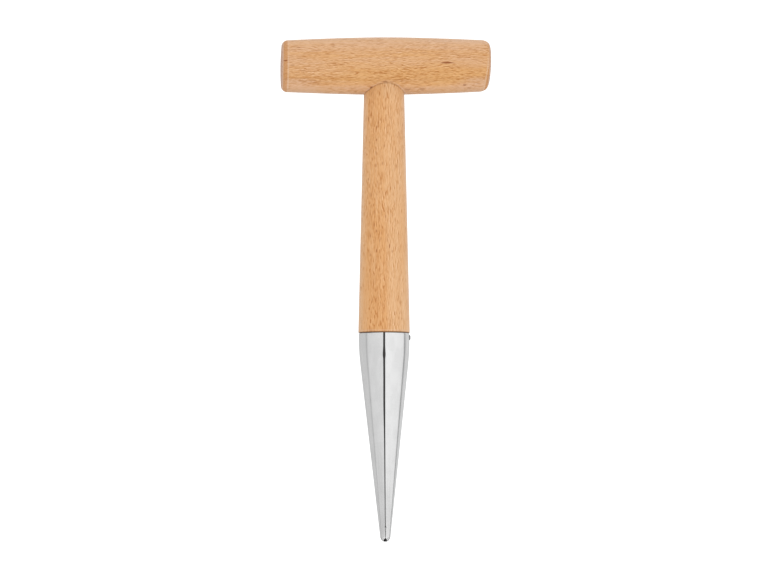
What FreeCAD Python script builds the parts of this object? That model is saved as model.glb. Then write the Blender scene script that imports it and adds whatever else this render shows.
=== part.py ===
import FreeCAD, Part
import math
import os

# T-handled hand dibber: a turned beech crossbar on a tapered beech stem, and a
# cone of rolled stainless sheet over the stem's lower end.
#
# Frame: +Z up along the stem, tip of the cone at the origin, crossbar along X.
# The front of the tool faces -Y. All lengths in millimetres.

# ---- driving dimensions ------------------------------------------------------
OVERALL_H = 280.0          # tip to the top of the crossbar

BAR_HALF_LEN = 58.0        # stem side to the edge of each end face, along the bar
BAR_DOME = 0.37            # how far each end face bulges past that
BAR_RIM_R = 3.60           # rounding between barrel and end face
BAR_R0 = 15.91             # radius at the middle of the barrel
BAR_STATIONS = [           # distance from the middle, radius
    (14.12, 15.75),
    (31.85, 15.24),
    (49.57, 14.54),
]
BAR_OFFSET_X = 0.67        # the stem stands a little off the bar's middle
BAR_TILT = 0.97            # degrees out of square, right-hand end up

STEM_TOP_R = 11.18         # stem radius just under the bar
STEM_SHOULDER_R = 14.0     # stem radius just above the metal collar
STEM_SHOULDER_Z = 115.1    # underside of the wooden shoulder
STEM_CHAMFER = 0.45        # broken edge at the shoulder

POINT_TOP_Z = 114.85       # top edge of the metal collar
POINT_R = 13.98            # outer radius at the rim of the collar
POINT_RIM = 0.18           # small bevel round the rim
POINT_COLLAR_END_Z = 110.0 # below this the collar curves into the cone
POINT_COLLAR_END_R = 13.96
POINT_CONE_TOP_Z = 91.0    # below this the cone is straight
POINT_CONE_TOP_R = 12.50
POINT_CONE_LOW_Z = 3.2     # end of the straight cone, start of the round nose
POINT_CONE_LOW_R = 2.87
POINT_HOLE_R = 0.80        # opening left by the rolled sheet at the very tip
SHEET_T = 1.0              # sheet thickness
POINT_LEAN = 0.35          # degrees: the cone leans to the right of the stem
SEAM_AZIMUTH = -94.5       # degrees from +X: the open seam faces the front
SEAM_STATIONS = [          # height, width of the open gap
    (116.0, 0.83),
    (106.9, 0.83),
    (104.2, 1.08),
    (102.5, 1.24),
    (101.2, 1.10),
    (100.0, 0.82),
    (92.0, 0.83),
    (74.4, 0.78),
    (61.2, 0.53),
    (48.0, 0.46),
    (26.0, 0.39),
    (13.0, 0.26),
    (1.9, 0.22),
]
NOTCH_TOP_Z = 1.85         # diamond-shaped opening at the foot of the seam
NOTCH_WIDE_Z = 0.87
NOTCH_HALF_W = 1.05

CORE_CLEAR = 0.02          # bedding line between sheet and wooden core
CORE_END_Z = 9.0           # the core stops above the tip

NAIL_Z = 112.4             # height of the nail in the collar
NAIL_AZIMUTH = -4.5        # degrees from +X: on the right-hand side
NAIL_SHANK_R = 0.6
NAIL_HEAD_R = 1.3
NAIL_HEAD_H = 0.8
NAIL_LEN = 9.0

DOWEL_R = 5.0
DOWEL_TOP_Z = 268.0
DOWEL_BOTTOM_Z = 226.0
DOWEL_CHAMFER = 0.8
SOCKET_CLEAR_R = 0.02      # glue film around the dowel
SOCKET_CLEAR_Z = 0.4       # air left at each end of the dowel's holes

JOINT_CLEAR = 0.02         # glue line between stem and crossbar

# ---- derived -----------------------------------------------------------------
BAR_Z = OVERALL_H - BAR_R0
V = FreeCAD.Vector
CONE_SLOPE = (POINT_CONE_TOP_R - POINT_CONE_LOW_R) / (POINT_CONE_TOP_Z - POINT_CONE_LOW_Z)
LEAN_CENTRE = V(0, 0, STEM_SHOULDER_Z)
TIP_X = math.sin(math.radians(POINT_LEAN)) * STEM_SHOULDER_Z
TIP_Z = STEM_SHOULDER_Z - math.cos(math.radians(POINT_LEAN)) * STEM_SHOULDER_Z


def line(a, b):
    return Part.LineSegment(a, b).toShape()


def arc3(a, b, c):
    return Part.Arc(a, b, c).toShape()


def cap_arc(rim, apex):
    """Arc from a rim point to an apex on the X axis, centred on that axis."""
    h, r = apex.x - rim.x, rim.z
    radius = (h * h + r * r) / (2.0 * abs(h))
    centre = V(apex.x - math.copysign(radius, h), 0, 0)
    half = math.asin(r / radius) / 2.0
    mid = V(centre.x + math.copysign(radius * math.cos(half), h), 0, radius * math.sin(half))
    return arc3(rim, mid, apex)


def bezier(*poles):
    curve = Part.BezierCurve()
    curve.setPoles(list(poles))
    return curve.toBSpline().toShape()


def revolved(edges, axis_dir):
    """A closed profile revolved a full turn about an axis through the origin."""
    wire = Part.Wire(Part.__sortEdges__(edges))
    solid = Part.Face(wire).revolve(V(0, 0, 0), axis_dir, 360)
    return solid if solid.ShapeType == "Solid" else solid.Solids[0]


def bar_solid(grow=0.0):
    """The turned, slightly barrel-shaped crossbar."""
    stations = [(-s, r) for s, r in reversed(BAR_STATIONS)] + [(0.0, BAR_R0)] + BAR_STATIONS
    rim_s = BAR_HALF_LEN - BAR_RIM_R
    slope = (BAR_STATIONS[-1][1] - BAR_STATIONS[-2][1]) / (
        BAR_STATIONS[-1][0] - BAR_STATIONS[-2][0])
    r_rim = BAR_STATIONS[-1][1] + slope * (rim_s - BAR_STATIONS[-1][0])
    stations = [(-rim_s, r_rim)] + stations + [(rim_s, r_rim)]
    barrel = Part.BSplineCurve()
    barrel.interpolate(Points=[V(s, 0, r + grow) for s, r in stations])
    r_face = r_rim - BAR_RIM_R
    c45 = math.cos(math.radians(45))
    edges = [barrel.toShape()]
    for sgn in (-1, 1):
        a = V(sgn * rim_s, 0, r_rim + grow)
        b = V(sgn * (rim_s + (BAR_RIM_R + grow) * c45), 0, r_face + (BAR_RIM_R + grow) * c45)
        c = V(sgn * (BAR_HALF_LEN + grow), 0, r_face)
        e = V(sgn * (BAR_HALF_LEN + grow + BAR_DOME), 0, 0)
        edges += [arc3(a, b, c), cap_arc(c, e)]
    edges.append(line(V(-(BAR_HALF_LEN + grow + BAR_DOME), 0, 0),
                      V(BAR_HALF_LEN + grow + BAR_DOME, 0, 0)))
    bar = revolved(edges, V(1, 0, 0))
    bar.rotate(V(0, 0, 0), V(0, 1, 0), -BAR_TILT)
    bar.translate(V(BAR_OFFSET_X, 0, BAR_Z))
    return bar


def rod(r, z0, z1, chamfer=0.0):
    """An upright round rod on the stem's axis, with chamfered ends."""
    if chamfer <= 0:
        return Part.makeCylinder(r, z1 - z0, V(0, 0, z0), V(0, 0, 1))
    pts = [V(0, 0, z0), V(r - chamfer, 0, z0), V(r, 0, z0 + chamfer),
           V(r, 0, z1 - chamfer), V(r - chamfer, 0, z1), V(0, 0, z1)]
    return revolved([line(pts[i], pts[(i + 1) % len(pts)]) for i in range(len(pts))],
                    V(0, 0, 1))


def point_outline(offset):
    """Outline of the point moved inwards by offset: cone, ogive, collar."""
    n = math.hypot(1.0, CONE_SLOPE)
    dx, dz = offset / n, -offset * CONE_SLOPE / n
    low = V(POINT_CONE_LOW_R - dx, 0, POINT_CONE_LOW_Z - dz)
    top = V(POINT_CONE_TOP_R - dx, 0, POINT_CONE_TOP_Z - dz)
    collar = V(POINT_COLLAR_END_R - offset, 0, POINT_COLLAR_END_Z)
    third = (collar.z - top.z) / 3.0
    ogive = bezier(top, V(top.x + CONE_SLOPE * third, 0, top.z + third),
                   V(collar.x, 0, collar.z - third), collar)
    return low, top, collar, line(low, top), ogive


def point_shell():
    """The rolled collar and cone before its seam is opened."""
    low, top, collar, e_cone, e_ogive = point_outline(0.0)
    low_i, top_i, collar_i, i_cone, i_ogive = point_outline(SHEET_T)
    rim_out = V(POINT_R, 0, POINT_TOP_Z - POINT_RIM)
    rim_top = V(POINT_R - POINT_RIM, 0, POINT_TOP_Z)
    rim_in = V(POINT_COLLAR_END_R - SHEET_T, 0, POINT_TOP_Z)
    hole_out = V(POINT_HOLE_R, 0, 0)
    hole_in = V(POINT_HOLE_R, 0, 0.75)
    nose = bezier(low, V(2.70, 0, 1.70), V(1.85, 0, 0.30), hole_out)
    edges = [
        e_cone, e_ogive, line(collar, rim_out), line(rim_out, rim_top),
        line(rim_top, rim_in), line(rim_in, collar_i), i_ogive, i_cone,
        line(low_i, hole_in), line(hole_in, hole_out), nose,
    ]
    return revolved(edges, V(0, 0, 1))


def prism(points, length, azimuth):
    """A flat outline (across, height) pushed out from the axis at an azimuth."""
    pts = [V(0, w, z) for w, z in points]
    edges = [line(pts[i], pts[(i + 1) % len(pts)]) for i in range(len(pts))]
    solid = Part.Face(Part.Wire(edges)).extrude(V(length, 0, 0))
    solid.rotate(V(0, 0, 0), V(0, 0, 1), azimuth)
    return solid


def seam_cutter():
    left = [(-w / 2.0, z) for z, w in SEAM_STATIONS]
    right = [(w / 2.0, z) for z, w in reversed(SEAM_STATIONS)]
    return prism(left + right, POINT_R + 4.0, SEAM_AZIMUTH)


def notch_cutter():
    half_seam = SEAM_STATIONS[-1][1] / 2.0
    return prism([(-half_seam, 2.4), (-half_seam, NOTCH_TOP_Z), (-NOTCH_HALF_W, NOTCH_WIDE_Z),
                  (-0.12, -0.2), (0.12, -0.2), (NOTCH_HALF_W, NOTCH_WIDE_Z),
                  (half_seam, NOTCH_TOP_Z), (half_seam, 2.4)], 6.0, SEAM_AZIMUTH)


def nail_and_hole():
    base = POINT_COLLAR_END_R + 0.02
    p = [
        V(base - NAIL_LEN, 0, 0),
        V(base - NAIL_LEN + 1.6, 0, NAIL_SHANK_R),
        V(base, 0, NAIL_SHANK_R),
        V(base, 0, NAIL_HEAD_R * 0.94),
        V(base + NAIL_HEAD_H * 0.30, 0, NAIL_HEAD_R),
        V(base + NAIL_HEAD_H, 0, 0),
    ]
    edges = [line(p[0], p[1]), line(p[1], p[2]), line(p[2], p[3]), line(p[3], p[4]),
             cap_arc(p[4], p[5]), line(p[5], p[0])]
    nail = revolved(edges, V(1, 0, 0))
    hole = Part.makeCylinder(NAIL_SHANK_R + 0.01, NAIL_LEN + 2.0,
                             V(base - NAIL_LEN - 0.2, 0, 0), V(1, 0, 0))
    for s in (nail, hole):
        s.rotate(V(0, 0, 0), V(0, 0, 1), NAIL_AZIMUTH)
        s.translate(V(0, 0, NAIL_Z))
    return nail, hole


def lean(shape):
    """Metal, nail and core lean together about the middle of the shoulder."""
    shape.rotate(LEAN_CENTRE, V(0, 1, 0), -POINT_LEAN)
    return shape


def stem_blank():
    """Tapered stem above the shoulder, fused to the core that fills the cone."""
    low, top, collar, i_cone, i_ogive = point_outline(SHEET_T + CORE_CLEAR)
    t = (CORE_END_Z - low.z) / (top.z - low.z)
    end = V(low.x + (top.x - low.x) * t, 0, CORE_END_Z)
    root = V(collar.x, 0, STEM_SHOULDER_Z + 4.0)
    core = revolved([
        line(V(0, 0, CORE_END_Z), end), line(end, top), i_ogive, line(collar, root),
        line(root, V(0, 0, root.z)), line(V(0, 0, root.z), V(0, 0, CORE_END_Z)),
    ], V(0, 0, 1))
    lean(core)
    neck_z = BAR_Z - BAR_R0
    outer = revolved([
        line(V(0, 0, STEM_SHOULDER_Z), V(STEM_SHOULDER_R - STEM_CHAMFER, 0, STEM_SHOULDER_Z)),
        line(V(STEM_SHOULDER_R - STEM_CHAMFER, 0, STEM_SHOULDER_Z),
             V(STEM_SHOULDER_R, 0, STEM_SHOULDER_Z + STEM_CHAMFER)),
        line(V(STEM_SHOULDER_R, 0, STEM_SHOULDER_Z + STEM_CHAMFER), V(STEM_TOP_R, 0, neck_z)),
        line(V(STEM_TOP_R, 0, neck_z), V(STEM_TOP_R, 0, BAR_Z)),
        line(V(STEM_TOP_R, 0, BAR_Z), V(0, 0, BAR_Z)),
        line(V(0, 0, BAR_Z), V(0, 0, STEM_SHOULDER_Z)),
    ], V(0, 0, 1))
    return outer.fuse(core)


def single(shape):
    shape = shape.removeSplitter()
    solids = shape.Solids
    assert len(solids) == 1, len(solids)
    assert solids[0].isValid()
    solid = solids[0].copy()
    solid.translate(V(-TIP_X, 0, -TIP_Z))   # the tip is the origin
    return solid


# ---- pieces --------------------------------------------------------------------
bore = rod(DOWEL_R + SOCKET_CLEAR_R, DOWEL_BOTTOM_Z - SOCKET_CLEAR_Z,
           DOWEL_TOP_Z + SOCKET_CLEAR_Z)
nail, nail_hole = nail_and_hole()
lean(nail)
lean(nail_hole)

PARTS = {
    "crossbar": single(bar_solid().cut(bore)),
    "stem": single(stem_blank().cut(bar_solid(JOINT_CLEAR)).cut(bore).cut(nail_hole)),
    "steel_point": single(
        lean(point_shell().cut(seam_cutter()).cut(notch_cutter())).cut(nail_hole)),
    "handle_dowel": single(rod(DOWEL_R, DOWEL_BOTTOM_Z, DOWEL_TOP_Z, DOWEL_CHAMFER)),
    "collar_nail": single(nail),
}

os.makedirs("parts", exist_ok=True)
for name, shape in PARTS.items():
    shape.exportStep("parts/%s.step" % name)
    bb = shape.optimalBoundingBox(True, False)
    print("%-13s volume %9.1f  x %7.2f..%7.2f  y %7.2f..%7.2f  z %7.2f..%7.2f" % (
        name, shape.Volume, bb.XMin, bb.XMax, bb.YMin, bb.YMax, bb.ZMin, bb.ZMax))

names = list(PARTS)
for i in range(len(names)):
    for j in range(i + 1, len(names)):
        common = PARTS[names[i]].common(PARTS[names[j]])
        if common.Volume > 1e-6:
            print("overlap", names[i], names[j], common.Volume)
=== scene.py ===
import math

import bpy
import numpy as np
from mathutils import Matrix, Vector


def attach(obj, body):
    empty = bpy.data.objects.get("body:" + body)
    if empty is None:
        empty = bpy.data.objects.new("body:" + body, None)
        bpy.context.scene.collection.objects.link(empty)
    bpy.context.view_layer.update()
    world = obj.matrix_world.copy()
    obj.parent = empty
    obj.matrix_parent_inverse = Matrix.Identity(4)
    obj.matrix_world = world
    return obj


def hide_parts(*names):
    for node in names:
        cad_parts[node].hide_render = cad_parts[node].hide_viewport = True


# T-handled hand dibber, in metres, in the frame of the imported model:
# tip of the cone at the origin, +Z up the stem, crossbar along X, front towards -Y.

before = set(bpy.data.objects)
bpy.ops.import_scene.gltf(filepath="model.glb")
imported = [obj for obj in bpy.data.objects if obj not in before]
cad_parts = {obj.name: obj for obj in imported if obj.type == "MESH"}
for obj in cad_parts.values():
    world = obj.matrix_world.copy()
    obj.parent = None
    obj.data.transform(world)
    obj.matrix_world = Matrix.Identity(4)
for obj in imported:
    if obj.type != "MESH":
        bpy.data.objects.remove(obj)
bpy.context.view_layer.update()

MM = 0.001

# ---- sizes, in millimetres -------------------------------------------------------
OVERALL_H = 279.92
BAR_HALF_LEN, BAR_DOME, BAR_RIM_R, BAR_R0 = 58.14, 0.37, 3.60, 15.99
BAR_STATIONS = [(14.12, 15.83), (31.85, 15.32), (49.57, 14.62)]
BAR_OFFSET_X, BAR_TILT = 0.67, 0.97
END_SKEW_L, END_SKEW_R = 0.024, 0.042
STEM_TOP_R, STEM_SHOULDER_R, STEM_SHOULDER_Z, STEM_CHAMFER = 11.30, 14.23, 114.7, 0.36
LEAN_Z, POINT_TOP_Z, POINT_R, POINT_RIM = 115.1, 114.42, 14.02, 0.22
COLLAR_END_Z, COLLAR_END_R = 110.0, 14.00
CONE_TOP_Z, CONE_TOP_R, CONE_LOW_Z, CONE_LOW_R = 91.0, 12.55, 3.2, 2.89
HOLE_R, SHEET_T, LEAN, SEAM_AZ = 0.80, 1.0, 0.35, -94.5
SEAM = [(116.0, 1.00), (106.9, 1.00), (104.2, 1.30), (102.5, 1.53), (101.2, 1.36), (100.0, 1.00),
        (92.0, 0.98), (74.4, 0.95), (61.2, 0.66), (48.0, 0.54), (26.0, 0.46), (13.0, 0.34),
        (9.0, 0.36), (8.5, 0.80), (7.9, 0.80), (7.4, 0.36),
        (2.30, 0.32), (1.70, 1.00), (1.10, 2.15), (0.60, 1.50), (0.15, 0.45), (0.0, 0.40)]
SEAM_SHIFT = [(116.0, 0.05), (104.0, -0.04), (90.0, -0.06), (78.0, -0.14), (67.0, -0.12), (55.0, -0.05),
              (30.0, -0.02), (12.0, 0.02), (5.0, 0.16), (2.0, 0.04), (0.0, -0.04)]
CORE_END_Z, BORE_R = 9.0, 5.02
NAIL_Z, NAIL_AZ, NAIL_SHANK_R, NAIL_HEAD_R, NAIL_HEAD_H, NAIL_LEN = 112.05, -4.5, 0.6, 1.40, 0.64, 9.0

TIP_X = math.sin(math.radians(LEAN)) * LEAN_Z
TIP_Z = LEAN_Z - math.cos(math.radians(LEAN)) * LEAN_Z
BAR_Z = OVERALL_H - BAR_R0
CONE_SLOPE = (CONE_TOP_R - CONE_LOW_R) / (CONE_TOP_Z - CONE_LOW_Z)

TO_FRAME = Matrix.Translation((-TIP_X, 0, -TIP_Z))
LEANING = (TO_FRAME @ Matrix.Translation((0, 0, LEAN_Z))
           @ Matrix.Rotation(math.radians(-LEAN), 4, "Y")
           @ Matrix.Translation((0, 0, -LEAN_Z)))
BAR_PLACE = (TO_FRAME @ Matrix.Translation((BAR_OFFSET_X, 0, BAR_Z))
             @ Matrix.Rotation(math.radians(-BAR_TILT), 4, "Y"))


# ---- meshes ----------------------------------------------------------------------
def new_mesh(name, points, faces, sharp_deg=38.0):
    """An object from points in millimetres, smooth but for edges over sharp_deg."""
    mesh = bpy.data.meshes.new(name)
    mesh.from_pydata([tuple(c * MM for c in p) for p in points], [], faces)
    mesh.validate()
    mesh.update()
    mesh.shade_smooth()
    mesh.set_sharp_from_angle(angle=math.radians(sharp_deg))
    obj = bpy.data.objects.new(name, mesh)
    bpy.context.scene.collection.objects.link(obj)
    return obj


def skin(rings, loop=True):
    """Quads between rings of equal length; a ring of one point closes an end."""
    points, faces, starts = [], [], []
    for ring in rings:
        starts.append(len(points))
        points.extend(ring)
    for k in range(len(rings) - 1):
        a, b = rings[k], rings[k + 1]
        ia, ib = starts[k], starts[k + 1]
        n = max(len(a), len(b))
        for i in range(n if loop else n - 1):
            j = (i + 1) % n
            if len(a) == 1:
                faces.append((ia, ib + j, ib + i))
            elif len(b) == 1:
                faces.append((ia + i, ia + j, ib))
            else:
                faces.append((ia + i, ia + j, ib + j, ib + i))
    return points, faces


def outward(obj):
    """Makes every face of a closed mesh look outwards."""
    import bmesh

    bm = bmesh.new()
    bm.from_mesh(obj.data)
    bmesh.ops.recalc_face_normals(bm, faces=bm.faces)
    if bm.calc_volume(signed=True) < 0:
        bmesh.ops.reverse_faces(bm, faces=bm.faces)
    bm.to_mesh(obj.data)
    bm.free()
    return obj


def even_fit(stations, r0, terms=4):
    """Even polynomial through the middle radius and the stations."""
    s = np.array([q[0] for q in stations])
    r = np.array([q[1] for q in stations])
    powers = 2 * np.arange(1, len(stations) + 1)
    coef = np.linalg.solve(s[:, None] ** powers, r - r0)
    return lambda x: r0 + float(np.sum(coef * abs(x) ** powers))


RIM_S = BAR_HALF_LEN - BAR_RIM_R
_end_slope = (BAR_STATIONS[-1][1] - BAR_STATIONS[-2][1]) / (BAR_STATIONS[-1][0] - BAR_STATIONS[-2][0])
RIM_BAR_R = BAR_STATIONS[-1][1] + _end_slope * (RIM_S - BAR_STATIONS[-1][0])
barrel = even_fit(BAR_STATIONS + [(RIM_S, RIM_BAR_R)], BAR_R0)


def make_crossbar():
    """Turned barrel with rounded rims and domed ends, about its own X axis."""
    around = 180

    def half_profile(reach, rim_r, crease):
        # the rounding runs reach along the bar and rim_r across it; on the left it
        # starts with a faint crease, as a turning tool leaves it
        rim_s = BAR_HALF_LEN - reach
        face_r = barrel(rim_s) - rim_r
        half = [(rim_s * t, barrel(rim_s * t)) for t in np.linspace(0, 1, 49)]
        for a in np.radians(np.linspace(8 if crease else 6, 88, 17)):
            half.append((rim_s + reach * math.sin(a) - crease * math.cos(a) ** 3,
                         face_r + rim_r * math.cos(a)))
        for q in (0.985, 0.95, 0.88, 0.76, 0.6, 0.42, 0.22, 0.0):
            half.append((BAR_HALF_LEN + BAR_DOME * (1 - q * q), face_r * q))
        return half

    profile = ([(-s, r) for s, r in reversed(half_profile(BAR_RIM_R, BAR_RIM_R, 0.16)[1:])]
               + half_profile(5.0, 3.5, 0.0))
    rings = []
    for s, r in profile:
        # both ends are cut a little out of square
        reach = min(max((abs(s) - 46.0) / 8.0, 0.0), 1.0)
        skew = (END_SKEW_R if s > 0 else END_SKEW_L) * reach * reach * (3 - 2 * reach)
        if r < 1e-6:
            rings.append([(s, 0.0, 0.0)])
        else:
            rings.append([(s + skew * r * math.sin(t), r * math.cos(t), r * math.sin(t))
                          for t in np.linspace(0, 2 * math.pi, around, endpoint=False)])
    points, faces = skin(rings)
    obj = outward(new_mesh("grip_crossbar", points, faces, 30))
    # blind hole for the dowel, from below
    hole = [(BORE_R * math.cos(t), BORE_R * math.sin(t)) for t in np.linspace(0, 2 * math.pi, 48, endpoint=False)]
    hx = -BAR_OFFSET_X
    hp, hf = skin([[(hx, 0, -30.0)], [(hx + x, y, -30.0) for x, y in hole],
                   [(hx + x, y, 268.4 - BAR_Z) for x, y in hole], [(hx, 0, 268.4 - BAR_Z)]])
    cutter = outward(new_mesh("cutter", hp, hf))
    mod = obj.modifiers.new("bore", "BOOLEAN")
    mod.operation, mod.solver, mod.object = "DIFFERENCE", "EXACT", cutter
    deps = bpy.context.evaluated_depsgraph_get()
    done = bpy.data.meshes.new_from_object(obj.evaluated_get(deps))
    obj.modifiers.clear()
    obj.data = done
    obj.data.name = "grip_crossbar"
    bpy.data.objects.remove(cutter)
    obj.matrix_world = BAR_PLACE_M
    return obj


def metres(m):
    """The same placement with its shift in metres."""
    out = m.copy()
    out.translation = m.translation * MM
    return out


BAR_PLACE_M = metres(BAR_PLACE)
LEANING_M = metres(LEANING)
TO_FRAME_M = metres(TO_FRAME)


def under_bar(x, y):
    """Height of the crossbar's underside over a point of the stem, millimetres."""
    t = math.radians(BAR_TILT)
    z = BAR_Z - BAR_R0
    for _ in range(6):
        s = (x - BAR_OFFSET_X) * math.cos(t) + (z - BAR_Z) * math.sin(t)
        r = barrel(s)
        v = -math.sqrt(max(r * r - y * y, 0.0))
        z = BAR_Z + s * math.sin(t) + v * math.cos(t)
    return z


def offset_outline(offset):
    """(z, r) points of the point's outline from cone to collar, moved inwards."""
    n = math.hypot(1.0, CONE_SLOPE)
    dx, dz = offset / n, -offset * CONE_SLOPE / n
    low = (CONE_LOW_Z - dz, CONE_LOW_R - dx)
    top = (CONE_TOP_Z - dz, CONE_TOP_R - dx)
    col = (COLLAR_END_Z, COLLAR_END_R - offset)
    third = (col[0] - top[0]) / 3.0
    p = [top, (top[0] + third, top[1] + CONE_SLOPE * third), (col[0] - third, col[1]), col]
    ogive = []
    for t in np.linspace(0, 1, 25):
        b = ((1 - t) ** 3, 3 * t * (1 - t) ** 2, 3 * t * t * (1 - t), t ** 3)
        ogive.append((sum(w * q[0] for w, q in zip(b, p)), sum(w * q[1] for w, q in zip(b, p))))
    return low, top, ogive, col


TOP_FULL = (0.020, 0.056)


def make_stem():
    """Stem with its saddle and dowel hole, shoulder, and the core inside the cone."""
    around = 160
    turn = np.linspace(0, 2 * math.pi, around, endpoint=False)

    def fuller(t, z, part=1.0):
        # under the grip the stem's front is a little fuller than round, mostly on its right
        w = min(max((z - 200.0) / 50.0, 0.0), 1.0)
        w *= w * (3 - 2 * w) / max(w, 1e-9)
        full = max(TOP_FULL[0] + TOP_FULL[1] * math.cos(t), 0.0) if math.sin(t) < 0 else 0.0
        return 1.0 + w * full * part

    def ring(r, z, leaning=False):
        pts = []
        for t in turn:
            p = Vector((r * math.cos(t), r * math.sin(t) * (1.0 if r <= BORE_R else fuller(t, z)), z))
            pts.append(LEAN_LOCAL @ p if leaning else p)
        return [tuple(p) for p in pts]

    low, top, ogive, col = offset_outline(SHEET_T + 0.02)
    t_end = (CORE_END_Z - low[0]) / (top[0] - low[0])
    rings = [[tuple(LEAN_LOCAL @ Vector((0, 0, CORE_END_Z)))]]
    for k in np.linspace(t_end, 1, 30):
        rings.append(ring(low[1] + (top[1] - low[1]) * k, low[0] + (top[0] - low[0]) * k, True))
    for z, r in ogive[1:]:
        rings.append(ring(r, z, True))
    rings.append(ring(col[1], STEM_SHOULDER_Z - 0.02, True))
    rings.append(ring(col[1] + 0.02, STEM_SHOULDER_Z))
    c = STEM_CHAMFER
    for k in (0.0, 0.3, 0.65, 1.0):
        a = math.radians(90 * k)
        rings.append(ring(STEM_SHOULDER_R - c + c * math.sin(a), STEM_SHOULDER_Z + c - c * math.cos(a)))
    z0, z1 = STEM_SHOULDER_Z + c, BAR_Z - BAR_R0
    side = lambda z: STEM_SHOULDER_R + (STEM_TOP_R - STEM_SHOULDER_R) * min((z - z0) / (z1 - z0), 1.0)
    for z in np.linspace(z0, z1 - 3.0, 90)[1:]:
        rings.append(ring(side(z), z))
    # the last rings rise to the scribed edge under the bar
    gap, bevel = 0.07, 0.22
    base = z1 - 3.0
    for k in (0.25, 0.5, 0.75, 0.9, 1.0):
        pts = []
        for t in turn:
            r = side(z1)
            x, y = r * math.cos(t), r * math.sin(t) * fuller(t, z1)
            z = base + (under_bar(x, y) - gap - bevel - base) * k
            rr = side(z)
            pts.append((rr * math.cos(t), rr * math.sin(t) * fuller(t, z), z))
        rings.append(pts)
    for k, r in enumerate((STEM_TOP_R - 0.03, STEM_TOP_R - bevel, 10.0, 8.0, 6.2, BORE_R)):
        pts = []
        for t in turn:
            part = (r - BORE_R) / (STEM_TOP_R - BORE_R)
            x, y = r * math.cos(t), r * math.sin(t) * fuller(t, z1, part)
            z = under_bar(x, y) - gap
            if k == 0:
                z -= bevel * 0.6
            pts.append((x, y, z))
        rings.append(pts)
    rings.append(ring(BORE_R, 225.6))
    rings.append([(0.0, 0.0, 225.6)])
    points, faces = skin(rings)
    obj = outward(new_mesh("beech_stem", points, faces, 34))
    obj.matrix_world = TO_FRAME_M
    return obj


LEAN_LOCAL = (Matrix.Translation((0, 0, LEAN_Z)) @ Matrix.Rotation(math.radians(-LEAN), 4, "Y")
              @ Matrix.Translation((0, 0, -LEAN_Z)))


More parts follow.
